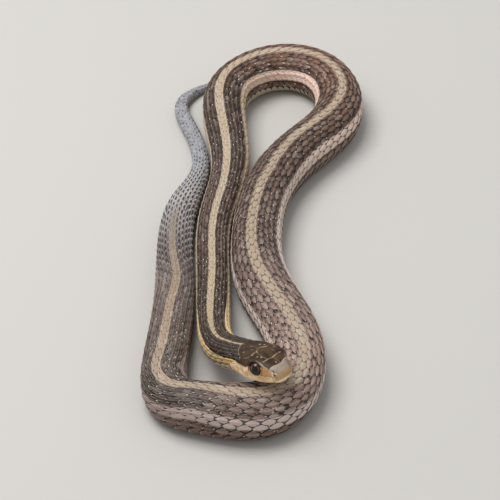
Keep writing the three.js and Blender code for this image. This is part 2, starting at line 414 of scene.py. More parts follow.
def markings(paint):
    """Paints the body by place. Returns the shares of back stripe, side stripe and silver, and the place."""
    length, turn = paint.map_axes("body")
    around = abs((turn - 0.5) * 360)
    reading = around + (paint.noise(paint.spot_places(), 500, 2) - 0.5) * EDGE_WANDER
    off_nape = paint.ramp(*BACK_STRIPE_WIDENS, length)
    back_edge = blend(BACK_STRIPE_NAPE, BACK_STRIPE_EDGE, off_nape)
    slim = paint.ramp(*BACK_STRIPE_SLIMS, length) * (1 - paint.ramp(*BACK_STRIPE_WIDENS_AGAIN, length))
    back_edge = back_edge - BACK_STRIPE_SLIMMER * slim
    back_stripe = 1 - paint.past(back_edge, UPPER_SOFTNESS, reading)
    off_neck = paint.ramp(*SIDE_LEAVES_NECK, length)
    side_edge = blend(SIDE_ON_NECK, SIDE_FROM, off_neck)
    by_mouth = 1 - paint.ramp(*SIDE_LEAVES_MOUTH, length)
    side_edge = side_edge + (SIDE_BEHIND_MOUTH - SIDE_ON_NECK) * by_mouth
    lower_edge = blend(SIDE_TO_ON_NECK, SIDE_TO, off_neck)
    lower_edge = lower_edge + SIDE_DEEPER * (1 - paint.ramp(*SIDE_DEEP_PART_ENDS, length))
    side_from = paint.past(side_edge, UPPER_SOFTNESS, reading)
    side_to = paint.past(lower_edge, LOWER_SOFTNESS, reading)
    side_stripe = side_from * (1 - side_to)
    flank, back, side, edge = [
        paint.add("ValToRGB", {"stops": [(share, srgb(*seen)) for share, *seen in rows]}, {0: length})
        for rows in (FLANK_AND_SHADOW, BACK_STRIPE, SIDE_STRIPE, BELLY_EDGE)
    ]
    edging = paint.ramp(side_edge - EDGING[0], side_edge - EDGING[1], reading) * (1 - side_from)
    flank = paint.mix(edging * (1 - paint.ramp(*EDGING_ENDS, length)) * 0.85, flank, BLACK_AND_SHADE)
    paint.colour = paint.mix(back_stripe, flank, back)
    paint.tint(side_stripe, side)
    paint.tint(side_to, edge)
    pale_from, pale_to = [BELLY_FROM + degrees for degrees in BELLY_PALES]
    paint.tint(paint.ramp(pale_from, pale_to, around), BELLY_PALE)
    # Towards the tip the tail turns silvery: partly pale skin, partly painted sheen.
    silver = paint.ramp(*SILVER_STARTS, length + 0.02 * side_stripe)
    tail = paint.mix(paint.ramp(*FAR_TAIL_STARTS, length), TAIL_SILVER_AND_SHEEN, FAR_TAIL_SILVER_AND_SHEEN)
    stripe_left = 1 - paint.ramp(*BACK_STRIPE_ENDS, length)
    paint.tint(silver * (1 - 0.85 * back_stripe * stripe_left), tail)
    return back_stripe, side_stripe, silver, length


# Middle of each eye: distance from the snout, out to its side and up from the head's axis.
EYE_BACK = 0.0084
EYE_OUT = 0.00535
EYE_UP = 0.00215
EYE_RADIUS = 0.0023
EYE_OPENING = 0.00222
# The mouth's line lies this far below the head's axis and ends this far from the snout.
MOUTH_DEPTH = 0.0019
MOUTH_CORNER = 0.0196
# The skin lies this far inside the body's surface at the head's plates and under the scales.
SKIN_UNDER_PLATES = 0.00008
SKIN_UNDER_SCALES = 0.0004

# Where the head's plates end and small scales begin: degrees from the crown, distance from the snout.
HOOD = np.array([
    (0, 0.02), (16, 0.0196), (30, 0.0189), (40, 0.0177), (48, 0.0162), (54, 0.0151), (62, 0.015),
    (70, 0.0164), (78, 0.019), (88, 0.0208), (108, 0.0208), (126, 0.0168), (150, 0.0145), (180, 0.014),
])

# Seams between the plates of the crown, the side of the face, and lips and chin, right half: distance from
# the snout in millimetres, degrees from the crown. The palest are those in front, the parietals' front edges
# and their rear ones.
PALE_SEAMS = [
    [(3.0, 0), (3.3, 15), (3.5, 26), (4.0, 45)], [(6.4, 0), (6.5, 8), (6.8, 29), (6.9, 35)],
    [(13.1, 0), (12.6, 9), (11.7, 17)], [(16.6, 46), (17.7, 40), (18.9, 30), (19.6, 16), (20.0, 0)],
]
CROWN_SEAMS = [
    [(1.5, 0), (1.7, 31), (1.7, 52)], [(1.5, 0), (6.4, 0)], [(4.0, 45), (4.5, 55)],
    [(6.6, 20), (7.9, 20), (9.2, 20), (10.4, 20), (11.7, 17)], [(6.9, 35), (6.6, 45)],
    [(11.7, 17), (12.2, 28), (11.9, 40)], [(13.1, 0), (20.0, 0)],
    [(11.9, 40), (12.9, 47), (14.7, 52), (16.6, 46)],
]
FACE_SEAMS = [
    [(1.7, 60), (4.5, 55), (6.1, 51)], [(4.5, 55), (4.5, 88)], [(6.0, 52), (6.0, 87)],
    [(10.2, 50), (11.9, 50), (14.7, 52)], [(10.9, 62), (12.5, 63)], [(11.9, 50), (12.4, 76)],
    [(1.5, 59), (1.1, 84), (0.9, 106)],
    [(1.5, 84), (6.1, 87), (7.3, 84), (9.8, 84), (10.8, 78), (13.6, 75), (17.0, 79), (20.4, 88)],
]
# Painted highlight along the brow's edge over each eye, where the ridge catches the light.
BROW_HIGHLIGHT = [[(8.6, 41), (7.1, 43), (5.8, 49), (4.7, 51)]]
NOSTRIL_SEAM = [[(2.9, 52), (2.6, 60), (2.5, 70), (2.4, 80), (2.3, 86)]]
LIP_SEAMS = [
    [(3.1, 87), (2.8, 120)], [(5.0, 87), (4.7, 118)], [(8.0, 84), (8.1, 116)], [(10.4, 80), (10.7, 116)],
    [(12.7, 76), (13.0, 113)], [(16.0, 78), (16.4, 111)],
    [(1.6, 150), (4.0, 138), (9.0, 133), (15.0, 132), (19.0, 128)], [(3.4, 138), (3.2, 120)],
    [(5.8, 136), (5.6, 118)], [(8.4, 134), (8.2, 116)], [(11.4, 133), (11.2, 116)],
    [(14.6, 132), (14.6, 114)], [(3.6, 139), (4.6, 179)], [(9.0, 133), (9.6, 160), (9.2, 179)],
    [(14.2, 132), (13.8, 158), (13.2, 179)], [(1.6, 180), (14.0, 180)],
]
# Length of one degree round the head.
DEGREE_ARC = 0.00012


def read(table, value, column=1):
    """One column of a table by its first, straight between the rows."""
    return np.interp(value, table[:, 0], table[:, column])


def hood_edge(around):
    return read(HOOD, np.abs(around))


def bell(value, width):
    """1 where value is 0, falling away on both sides."""
    return np.exp(-((value / width) ** 2))


# Rings of the skin, closest round the snout's end: start, stop and step of each run, and points in a ring.
SNOUT_RINGS = 22
HEAD_RING = 0.00013
HEAD_RINGS = (SNOUT_ROUNDING + HEAD_RING, 0.0215, HEAD_RING)
NAPE_RINGS = (0.0217, 0.03, 0.0003)
TRUNK_RINGS = (0.0304, 0.56, 0.0016)
TAIL_RINGS = (0.561, TAIL_TIP, 0.001)
HEAD_POINTS = 288
NAPE_POINTS = 144
TRUNK_POINTS = 72
snout_rings = SNOUT_ROUNDING * (1 - np.cos(np.linspace(0.03, np.pi / 2, SNOUT_RINGS)))
head_rings = np.concatenate([snout_rings, np.arange(*HEAD_RINGS)])
nape_rings = np.arange(*NAPE_RINGS)
trunk_rings = np.concatenate([np.arange(*TRUNK_RINGS), np.arange(*TAIL_RINGS), [TAIL_TIP]])

from_snout = []
skin_around = []
skin_faces = []
ring_starts = []
counted = 0
for rings, count in ((head_rings, HEAD_POINTS), (nape_rings, NAPE_POINTS), (trunk_rings, TRUNK_POINTS)):
    for ring in rings:
        ring_starts.append((counted, count))
        from_snout.append(np.full(count, ring))
        skin_around.append(np.arange(count) * 360 / count - 180)
        counted += count
for (start, count), (after, fewer) in zip(ring_starts[:-1], ring_starts[1:]):
    for k in range(fewer):
        following = (k + 1) % fewer
        if count == fewer:
            skin_faces.append((start + k, after + k, after + following, start + following))
        else:
            half_way = start + 2 * k
            next_one = start + (2 * k + 2) % count
            skin_faces.append((half_way, after + k, half_way + 1))
            skin_faces.append((half_way + 1, after + k, after + following))
            skin_faces.append((half_way + 1, after + following, next_one))
skin_faces.append(tuple(range(HEAD_POINTS)))
last_start, last_count = ring_starts[-1]
skin_faces.append(tuple(last_start + k for k in reversed(range(last_count))))
from_snout = np.concatenate(from_snout)
skin_around = np.concatenate(skin_around)
side_angle = np.abs(skin_around)

under_scales = smooth(-0.0002, 0.0004, from_snout - hood_edge(skin_around))
plates = 1 - under_scales
depth = blend(SKIN_UNDER_PLATES, SKIN_UNDER_SCALES, under_scales)
skin_places = on_body(from_snout, skin_around, -depth)
outward = unit(on_body(from_snout, skin_around, 0.0002) - on_body(from_snout, skin_around, -0.0002))
middle, _, upward, _ = station(from_snout)
height = ((skin_places - middle) * upward).sum(-1)


def seam_distance(seams):
    """How far each point of the skin is from the nearest of some seams, over the surface."""
    here = np.stack([from_snout, side_angle * DEGREE_ARC], -1)
    nearest = np.full(len(here), 1.0)
    for seam in seams:
        points = np.array(seam) * (0.001, DEGREE_ARC)
        for start, end in zip(points[:-1], points[1:]):
            along = end - start
            share = np.clip(((here - start) @ along) / (along @ along), 0, 1)
            nearest = np.minimum(nearest, np.linalg.norm(here - start - share[..., None] * along, axis=-1))
    return nearest


# Seams are fine grooves and each plate is a little domed between them.
SEAM_DEPTH = 0.00009
SEAM_WIDTH = 0.00014
PLATE_DOME = 0.00013
PLATE_EDGE = 0.0008
SEAM_KINDS = (PALE_SEAMS, CROWN_SEAMS, FACE_SEAMS, LIP_SEAMS, NOSTRIL_SEAM)
seam_gaps = [seam_distance(seams) for seams in SEAM_KINDS]
pale_gap, crown_gap, face_gap, lip_gap, nostril_seam_gap = seam_gaps
any_gap = np.minimum.reduce(seam_gaps)
carved = -SEAM_DEPTH * bell(any_gap, SEAM_WIDTH) - PLATE_DOME * np.exp(-any_gap / PLATE_EDGE)

# The mouth is a deep groove that rises at its corner. The upper lip swells over it, the lower jaw stands a
# little inside the upper one, and a small notch lies in the middle under the snout's tip.
MOUTH_RISE = 0.0011
MOUTH_GROOVE = 0.00045
LIP_SWELL = 0.00012
JAW_INSET = 0.00016
SNOUT_NOTCH = 0.00022
mouth_rise = MOUTH_RISE * smooth(0.012, MOUTH_CORNER, from_snout)
over_mouth = height + MOUTH_DEPTH - mouth_rise
has_mouth = (from_snout < MOUTH_CORNER) & (from_snout > 0.0008)
before_corner = 1 - smooth(MOUTH_CORNER - 0.003, MOUTH_CORNER, from_snout)
mouth = bell(over_mouth, 0.00017) * has_mouth
carved -= MOUTH_GROOVE * mouth
carved += LIP_SWELL * bell(over_mouth - 0.0006, 0.0005) * before_corner
lower_jaw = (over_mouth < 0) * before_corner * smooth(0.0008, 0.0016, from_snout)
carved -= JAW_INSET * lower_jaw * (1 - smooth(0.0004, 0.0028, -over_mouth))
carved -= SNOUT_NOTCH * bell(from_snout - 0.0009, 0.0003) * (1 - smooth(6, 12, 180 - side_angle))

# The face is hollowed in front of the eye, and a ridge runs from the snout over the eye as a brow.
FACE_HOLLOW = 0.00018
BROW_RIDGE = 0.00036
carved -= FACE_HOLLOW * bell(from_snout - 0.005, 0.0013) * bell(side_angle - 66, 9)
over_eye = smooth(0.0055, 0.0072, from_snout) * (1 - smooth(0.011, 0.0125, from_snout))
carved += BROW_RIDGE * bell(side_angle - 48, 6) * over_eye

# Nostrils, one each side, each a pit with a low rim.
NOSTRIL_BACK = 0.0024
NOSTRIL_ANGLE = 72
NOSTRIL_SIZE = 0.0003
NOSTRIL_DEPTH = 0.0006
NOSTRIL_RIM = 0.0001
nostril_gap = np.hypot(from_snout - NOSTRIL_BACK, (side_angle - NOSTRIL_ANGLE) * 0.00008)
nostril = bell(nostril_gap, NOSTRIL_SIZE)
carved += NOSTRIL_RIM * bell(nostril_gap - 0.00055, 0.0002) - NOSTRIL_DEPTH * nostril

# Round each eye the hide sinks to the ball, inside a raised ring of small plates. The opening faces this
# much out to the eye's side, up and tailward.
OPENING_FACES = (0.92, 0.18, -0.26)
# The opening is an oval, narrower from below behind to above in front. 0 would make it round.
OPENING_OVAL = 0.55
SOCKET_DEPTH = 0.0007
SOCKET_RING = 0.0002
eye_middle, eye_right, eye_up, eye_tailward = station(np.array(EYE_BACK))
eye_centres = {}


def from_eye(side, shares):
    """Direction given as shares of out to one side (1 right, -1 left), up and tailward."""
    return unit(shares[0] * side * eye_right + shares[1] * eye_up + shares[2] * eye_tailward)


ring_round_eye = np.zeros(len(from_snout))
# Painted shade in each eye's socket and on the ring round it, darkest above and behind, under the brow.
socket_shade = np.zeros(len(from_snout))
sunk = np.zeros(len(from_snout))
for name, side in (("eye_right", 1), ("eye_left", -1)):
    centre = eye_middle + side * EYE_OUT * eye_right + EYE_UP * eye_up
    facing = from_eye(side, OPENING_FACES)
    eye_centres[name] = centre
    offset = skin_places - centre
    aside = offset - (offset @ facing)[:, None] * facing
    reach = np.hypot(np.linalg.norm(aside, axis=-1), OPENING_OVAL * (aside @ unit(eye_up - eye_tailward)))
    near_eye = (offset @ facing > -0.001) & (skin_around * side > 0)
    brow = 0.55 + 0.45 * smooth(-0.0012, 0.0012, (offset * eye_up).sum(-1))
    from_front = smooth(-0.0014, 0.0018, offset @ (eye_up + eye_tailward) / np.sqrt(2))
    ring = near_eye * bell(reach - EYE_OPENING - 0.0003, 0.00026)
    ring_round_eye = np.maximum(ring_round_eye, ring * brow)
    socket_shade = np.maximum(socket_shade, ring * (0.15 + 0.85 * from_front))
    sunk = np.maximum(sunk, near_eye * (1 - smooth(EYE_OPENING - 0.0002, EYE_OPENING + 0.00018, reach)))
carved = carved * (1 - sunk) + SOCKET_RING * ring_round_eye - SOCKET_DEPTH * sunk
skin_places = skin_places + outward * (carved * plates)[:, None]

hide = Paint("garter_skin")
back_stripe, _, silver, length = markings(hide)
spots = hide.spot_places()
# Hide between the scales: nearly black, with pale flecks here and there.
between_scales = hide.mix(0.18 + 0.25 * back_stripe + 0.3 * silver, BLACK_AND_SHADE, hide.colour)
flecks = hide.ramp(0.62, 0.68, hide.noise(spots, 900, 1))
between_scales = hide.mix(flecks * (1 - silver) * 0.5, between_scales, FLECK_PALE)

CROWN_OLIVE = srgb(76, 56, 34)
CROWN_DARK = srgb(42, 26, 13)
# Pale of the nose's plates: a little of it is their own colour, most of it is a painted sheen of the light
# above.
NOSE_PALE_AND_SHEEN = srgb(164, 151, 136)
LIP_CREAM = srgb(246, 220, 180)
CHEEK_TAN = srgb(206, 166, 122)
LOREAL_TAN = srgb(168, 122, 78)
ROSTRAL_ORANGE = srgb(172, 136, 94)
SEAM_PALE = srgb(190, 172, 140)
SEAM_DARK = srgb(66, 44, 30)
# Colour of the painted shade round the eyes.
EYE_SOCKET_SHADE = srgb(50, 24, 16)
# The crown is darker behind, between these shares of the snake's length.
CROWN_DARKENS = (0.017, 0.024)
cloud = hide.noise(spots, 300, 3)
grain = hide.noise(spots, 2600, 2)
broken = hide.ramp(0.38, 0.62, hide.noise(spots, 520, 1))
crown = hide.mix(hide.ramp(0.35, 0.65, cloud), CROWN_DARK, CROWN_OLIVE)
crown = hide.mix(hide.ramp(*CROWN_DARKENS, length) * 0.5, crown, CROWN_DARK)
# Marks painted over crown, cheek and both, one after the other: the mark, how strong, its colour.
CROWN_MARKS = [
    # The nose mark is painted sheen over slightly paler plates.
    ("nose", 0.6 + 0.35 * cloud, NOSE_PALE_AND_SHEEN), ("rostral", 0.8, ROSTRAL_ORANGE),
    ("crown_seam", 0.05 + 0.25 * broken, SEAM_PALE), ("pale_seam", 0.35 + 0.55 * broken, SEAM_PALE),
    # The brow's pale line is a painted highlight.
    ("pale_spot", 0.85, SEAM_PALE), ("brow_highlight", 0.9, SEAM_PALE),
]
CHEEK_MARKS = [
    ("loreal", 0.85, LOREAL_TAN), ("rostral", 0.8, ROSTRAL_ORANGE), ("lip_edge", 0.8, LIP_CREAM),
    ("lip_seam", 0.06 + 0.4 * broken, SEAM_DARK),
]
# The rim mark is painted shade in and round each eye's socket.
HEAD_MARKS = [("rim", 0.9, EYE_SOCKET_SHADE), ("nostril_seam", 0.8, SEAM_DARK)]


def marked(colour, layers):
    for mark, strength, tint in layers:
        colour = hide.mix(hide.number(mark) * strength, colour, tint)
    return colour


crown = marked(crown, CROWN_MARKS)
cheek = marked(hide.mix(hide.ramp(0.36, 0.6, cloud), CHEEK_TAN, LIP_CREAM), CHEEK_MARKS)
head_colour = marked(hide.mix(hide.number("cheek"), crown, cheek), HEAD_MARKS)
# Painted shade in the nostrils' pits and in the groove of the mouth.
head_colour = hide.mix(hide.number("dark"), head_colour, BLACK_AND_SHADE)
darker = hide.mix(0.5, head_colour, BLACK_AND_SHADE)
head_colour = hide.mix(hide.ramp(0.3, 0.8, grain) * 0.25, head_colour, darker)
hood = hide.number("plates")
hide.wear({
    "Base Color": hide.mix(hood, between_scales, head_colour),
    "Roughness": 0.62 - 0.26 * hood + 0.12 * grain,
    "Specular IOR Level": 0.2,
    "Normal": hide.bump(0.35, 0.00006, grain),
})

# Olive of the crown gives way to cream below this line: distance from the snout, degrees from the crown.
CHEEK_LINE = np.array([
    (0, 44), (0.001, 54), (0.0016, 62), (0.003, 59), (0.0045, 54), (0.0062, 52), (0.0072, 62), (0.01, 62),
    (0.0112, 70), (0.015, 70), (0.0204, 74),
])
# Front edge of the plates behind the pale ones of the nose, whose paleness is mostly painted sheen: degrees
# from the crown, distance.
NOSE_END = np.array([(0, 0.003), (15, 0.0033), (26, 0.0035), (45, 0.004), (60, 0.0044)])
# Small pale dots on the crown: distance from the snout, degrees to the snake's right, size.
PALE_DOTS = [
    (0.0041, 11, 0.00026), (0.0068, -31, 0.00022), (0.0086, 24, 0.00026), (0.0096, 29, 0.0002),
    (0.0115, 31, 0.00028), (0.0118, 24, 0.00024), (0.0154, 34, 0.0002), (0.0158, 4, 0.0002),
    (0.0143, -14, 0.00026), (0.013, -19, 0.00026), (0.0102, -30, 0.0002), (0.014, 16, 0.00014),
]
cheek_line = read(CHEEK_LINE, from_snout)
cheek = smooth(-3, 3, side_angle - cheek_line)
loreal = smooth(0.0026, 0.0036, from_snout) * (1 - smooth(0.006, 0.0068, from_snout))
loreal = loreal * (1 - smooth(80, 92, side_angle))
nose_end = read(NOSE_END, side_angle)
rostral_end = 0.0008 + 0.0014 * smooth(40, 80, side_angle)
pale_spot = np.zeros(len(from_snout))
for dot_distance, dot_around, dot_size in PALE_DOTS:
    dot_gap = np.hypot(from_snout - dot_distance, (skin_around - dot_around) * DEGREE_ARC)
    pale_spot = np.maximum(pale_spot, bell(dot_gap, dot_size))
# Painted sheen on the nose's plates, over a slightly paler colour of their own, weaker on the snake's left.
nose = (1 - smooth(-0.0002, 0.0001, from_snout - nose_end)) * (1 - 0.5 * smooth(12, 34, -skin_around))
SEAM_LINE = 0.00012
marks = {
    "plates": plates,
    "cheek": cheek,
    "loreal": loreal * cheek,
    "rostral": (1 - smooth(rostral_end - 0.0004, rostral_end + 0.0008, from_snout)) * (side_angle < 112),
    "nose": nose,
    "crown_seam": bell(crown_gap, SEAM_LINE),
    "pale_seam": bell(pale_gap, 0.00014),
    "nostril_seam": bell(nostril_seam_gap, 0.00025),
    "brow_highlight": bell(seam_distance(BROW_HIGHLIGHT), 0.00022),
    "pale_spot": pale_spot,
    "lip_edge": bell(over_mouth - 0.0004, 0.0004) * before_corner,
    "lip_seam": np.maximum(bell(lip_gap, SEAM_LINE), bell(face_gap, SEAM_LINE)) * cheek,
    "rim": np.maximum(socket_shade, sunk),
    # painted shade in the nostrils and the mouth's groove
    "dark": np.maximum(0.9 * nostril, 0.85 * mouth),
}
skin_maps = {"body": np.stack([from_snout / TAIL_TIP, skin_around / 360 + 0.5], -1)}
skin = as_piece("garter_skin", skin_places, skin_faces, skin_maps, marks, hide.material)
trunk_nodes = [f"trunk_{number}" for number in range(1, 12)]
tail_nodes = [f"tail_{number}" for number in range(1, 4)]
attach(skin, "root")
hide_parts("head", "lower_jaw", "neck", *trunk_nodes, *tail_nodes)

# Scales of back and flanks
# Thin keeled blades of horn, rooted in the hide at their front end and lapping over the next ones like roof
# tiles, in rows staggered by half a scale. Each is the same small blade, bent to its place on the body.

# Length of a scale's step along the body: distance from the snout, step.
PITCH = np.array([
    (0.012, 0.0021), (0.022, 0.0024), (0.03, 0.0028), (0.06, 0.0033), (0.1, 0.0037), (0.15, 0.0039),
    (0.2, 0.0038), (0.3, 0.0039), (0.345, 0.0042), (0.385, 0.0041), (0.424, 0.0035), (0.44, 0.0038),
    (0.48, 0.0037), (0.54, 0.0034), (0.56, 0.0031), (0.58, 0.0027), (0.6, 0.0024), (0.62, 0.0021),
    (0.64, 0.0017), (0.664, 0.001),
])
# Width of each row in degrees, from the row on the middle of the back down to the row above the belly.
ROW_WIDTHS = np.array([11.6, 11, 11.4, 12.2, 12.6, 12.6, 13.5, 17, 20])
# On the tail two neighbouring rows a side run out together, so that the others stay staggered.
ROWS_ENDING = [(3, 0.548), (4, 0.551), (5, 0.574), (6, 0.577), (1, 0.622), (2, 0.624)]
# A scale is longer and wider than its own place in the pattern by these factors, so that it laps its
# neighbours, and its widest part is this far back.
LAP = 1.42
SIDE_LAP = 1.16
WIDEST = 0.45
# This share of a scale lies in front of its own place, as its root.
ROOT = 0.12
# Scales whose step is this long or longer stand at full height.
FULL_STEP = 0.0034
TOP_ROW = 8


def blade_from_grid(columns, rows, thickness, shape, curved_under=False):
    """Points and faces of a flat grid put into shape, with a thin edge and an underside.

    The underside is one face. For blades so wide that it would cut the body, curved_under copies the top."""
    edit = bpy.ops.mesh
    edit.primitive_grid_add(x_subdivisions=columns, y_subdivisions=rows, size=2)
    blade = bpy.context.object
    for vertex in blade.data.vertices:
        vertex.co = shape(vertex.co.x, (vertex.co.y + 1) / 2)
    bpy.ops.object.mode_set(mode="EDIT")
    edit.select_all(action="SELECT")
    if curved_under:
        edit.extrude_region_move(TRANSFORM_OT_translate={"value": (0, 0, -thickness)})
    else:
        edit.region_to_loop()
        edit.extrude_edges_move(TRANSFORM_OT_translate={"value": (0, 0, -thickness)})
        edit.edge_face_add()
    # Right, tailward and outward on the body are a left-handed set, so here the faces look inward.
    edit.select_all(action="SELECT")
    edit.normals_make_consistent(inside=True)
    bpy.ops.object.mode_set(mode="OBJECT")
    places = np.array([vertex.co for vertex in blade.data.vertices])
    faces = [tuple(face.vertices) for face in blade.data.polygons]
    bpy.data.objects.remove(blade)
    return places, faces


def keeled(across, back):
    """Shape of a keeled scale: x across from -1 to 1, y from root 0 to tip 1, z up to 1."""
    back = back ** 0.86
    column = np.sign(across) * abs(across) ** 1.25
    if back > WIDEST:
        width = max((1 - ((back - WIDEST) / (1 - WIDEST)) ** 1.9) ** 0.72, 0.08)
    else:
        width = 0.7 + 0.3 * np.sin(np.pi / 2 * back / WIDEST)
    keel = 0.36 * np.exp(-((column / 0.18) ** 2)) * (1 - back**8)
    rise = -0.3 + 1.08 * back**0.9
    return column * width, back, rise + keel - 0.2 * column**2


def step_along(distance):
    return eased(PITCH, distance)


# The scale steps counted along the body, so that a count gives a distance.
fine = np.arange(0.012, TAIL_TIP, 0.0002)
steps = np.concatenate([[0], np.cumsum(0.0002 / step_along(fine[:-1]))])


def row_places(distance):
    """Degrees from the back to the middle of each row, and each row's width, at one distance."""
    widths = ROW_WIDTHS.copy()
    for row, ends in ROWS_ENDING:
        widths[row] *= 1 - smooth(ends - 0.004, ends + 0.003, distance)
    edges = np.cumsum(widths) - widths[0] / 2
    fit = BELLY_FROM / edges[-1]
    return (edges - widths / 2) * fit, widths * fit


# The first scales start this far in front of the edge of the head's plates, and a row ends where less than
# this share of its width is left.
UNDER_PLATES = 0.0015
ROW_RUNS_OUT = 0.45
sites = []
for row in range(-TOP_ROW, TOP_ROW + 1):
    for count in np.arange(0.5 * (row % 2), steps[-1] - 0.5, 1.0):
        distance = np.interp(count, steps, fine)
        middles, widths = row_places(distance)
        around = np.sign(row) * middles[abs(row)]
        width = widths[abs(row)]
        if distance > hood_edge(around) - UNDER_PLATES and width > ROW_RUNS_OUT * ROW_WIDTHS[abs(row)]:
            sites.append((distance, around, width * SIDE_LAP, row, count))
# Small scales of the throat, behind the chin plates.
THROAT_WIDTH = 14.5
THROAT_STEP = 0.0021
THROAT_FROM = 0.0142
THROAT_TO = 0.0285
THROAT_UNDER_PLATES = 0.0006
for column in range(-4, 5):
    around = (180 + column * THROAT_WIDTH + 180) % 360 - 180
    for count in np.arange(0.5 * (column % 2), 9, 1.0):
        distance = THROAT_FROM + count * THROAT_STEP
        if hood_edge(around) - THROAT_UNDER_PLATES < distance < THROAT_TO:
            sites.append((distance, around, THROAT_WIDTH * SIDE_LAP, TOP_ROW + 1, count))
sites = np.array(sites)

# How many of the flank's scales carry a pale fleck, which is partly pale skin and partly a painted glint of
# light, and how
# strong the black checks are: distance from the snout, share, strength.
FLECKED = np.array([
    (0.02, 0.4, 0.5), (0.06, 0.6, 0.9), (0.17, 0.65, 1.0), (0.23, 0.35, 0.8), (0.3, 0.45, 0.8),
    (0.4, 0.45, 0.8), (0.43, 0.85, 0.7), (0.465, 0.85, 0.7), (0.48, 0.25, 0.6), (0.54, 0.15, 0.4),
])


def unwrapped(distance, around, x, y):
    """The patch of each scale on the skin's own unwrap, which is folded into a few strips."""
    strips = 4
    patch = 0.004
    run = np.clip(distance / TAIL_TIP, 0, 0.9999) * strips
    u = run % 1 * 0.97 + 0.01
    v = (np.floor(run) + 0.03 + 0.94 * ((around / 360 + 0.5) % 1)) / strips
    return np.stack([u[:, None] + x * patch / 2, v[:, None] + (y - 0.5) * patch], -1)


def coat_piece(name, chosen, blade, blade_faces, material):
    """The chosen scales as one mesh: each the same blade, bent to the body at its own place."""
    distance, around, width, row, count = chosen.T
    number = len(chosen)
    size = step_along(distance)
    length = size * LAP * chance.normal(1, 0.025, number)
    lift = np.clip(chance.normal(0.92, 0.04, number), 0.8, 1.0) * np.clip(size / FULL_STEP, 0.55, 1.0)
    width = width * chance.normal(1, 0.02, number)
    turned = around + chance.normal(0, 0.3, number)
    stretch = on_body(distance + 0.0005, turned, 0) - on_body(distance - 0.0005, turned, 0)
    stretch = np.clip(np.linalg.norm(stretch, axis=-1) / 0.001, 0.6, 1.6) ** 0.6
    x, y, z = blade.T
    distances = distance[:, None] + (y - ROOT) * (length / stretch)[:, None]
    arounds = turned[:, None] + x * (width / 2)[:, None]
    above = SKIN_UNDER_SCALES * (z * lift[:, None] - 1)
    places = on_body(distances, arounds, np.minimum(above, 0))
    flat = {
        "OFBake": unwrapped(distance, around, x, y),
        "body": np.stack([distances / TAIL_TIP, arounds / 360 + 0.5], -1),
        "scale": np.broadcast_to(np.stack([x * 0.5 + 0.5, y], -1), (number, len(blade), 2)),
    }
    maps = {title: values.reshape(-1, 2) for title, values in flat.items()}
    # Black checks stand in two staggered lines on each flank, every second scale.
    every_second = np.floor(count) % 2
    upper = (np.abs(row) == 2) & (every_second == 0)
    lower = np.isin(np.abs(row), (4, 5)) & (every_second == 1)
    strength = read(FLECKED, distance, 2)
    check = (upper | lower) * chance.normal(1.05, 0.2, number) + chance.normal(0.2, 0.25, number)
    fleck_and_glint = chance.random(number) < read(FLECKED, distance)
    each = {
        "check": np.clip(check * strength, 0, 1),
        "tone": np.clip(chance.normal(0.5, 0.2, number), 0, 1),
        "fleck_and_glint": fleck_and_glint * np.sign(chance.random(number) - 0.5),
        "shown": 1 - size * stretch / length,
    }
    marks = {title: np.repeat(values, len(blade)) for title, values in each.items()}
    rim = np.maximum(np.abs(x) / np.abs(x).max(), y**6)
    marks["rim"] = np.tile(rim, number)
    start = np.arange(number)[:, None, None] * len(blade)
    faces = []
    for size_of_face in sorted({len(face) for face in blade_faces}):
        same = np.array([face for face in blade_faces if len(face) == size_of_face])
        faces += (same[None] + start).reshape(-1, size_of_face).tolist()
    piece = as_piece(name, places.reshape(-1, 3), faces, maps, marks, material)
    bpy.context.view_layer.objects.active = piece
    piece.select_set(True)
    bpy.ops.object.shade_smooth_by_angle(angle=0.9)
    piece.select_set(False)
    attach(piece, "root")


# Along these shares of the length the scales' rims grow pale, the tail's net starts, and its hearts shrink.
RIMS_PALE = (0.5, 0.6)
NET_STARTS = (0.765, 0.8)
HEARTS_SHRINK = (0.86, 0.9)

horn = Paint("keeled_scales")
back_stripe, side_stripe, silver, length = markings(horn)
turn, back = horn.map_axes("scale")
across = abs(turn * 2 - 1)
shown, check, tone, fleck_and_glint = [horn.number(name) for name in ("shown", "check", "tone", "fleck_and_glint")]
plain = (1 - back_stripe) * (1 - side_stripe)
spots = horn.spot_places()
mottle = horn.noise(spots, 1500, 3)
# Each scale differs a little in tone.
paler = horn.mix(0.45, horn.colour, FLECK_PALE)
darker = horn.mix(0.6, horn.colour, BLACK_AND_SHADE)
off_head = 0.25 + 0.75 * horn.ramp(0.03, 0.14, length)
horn.tint(horn.ramp(0.45, 0.95, tone) * off_head * 0.34, paler)
horn.tint((1 - horn.ramp(0.0, 0.5, tone)) * plain * 0.5, darker)
horn.tint(horn.ramp(0.45, 0.75, mottle) * 0.35, darker)
# Painted shade darkens the flanks' scales along both sides of the keel, which leaves a lighter streak on the
# keel.
side_shade = horn.ramp(0.35, 0.95, across) * plain * (1 - silver)
horn.tint(side_shade * 0.62, BLACK_AND_SHADE)
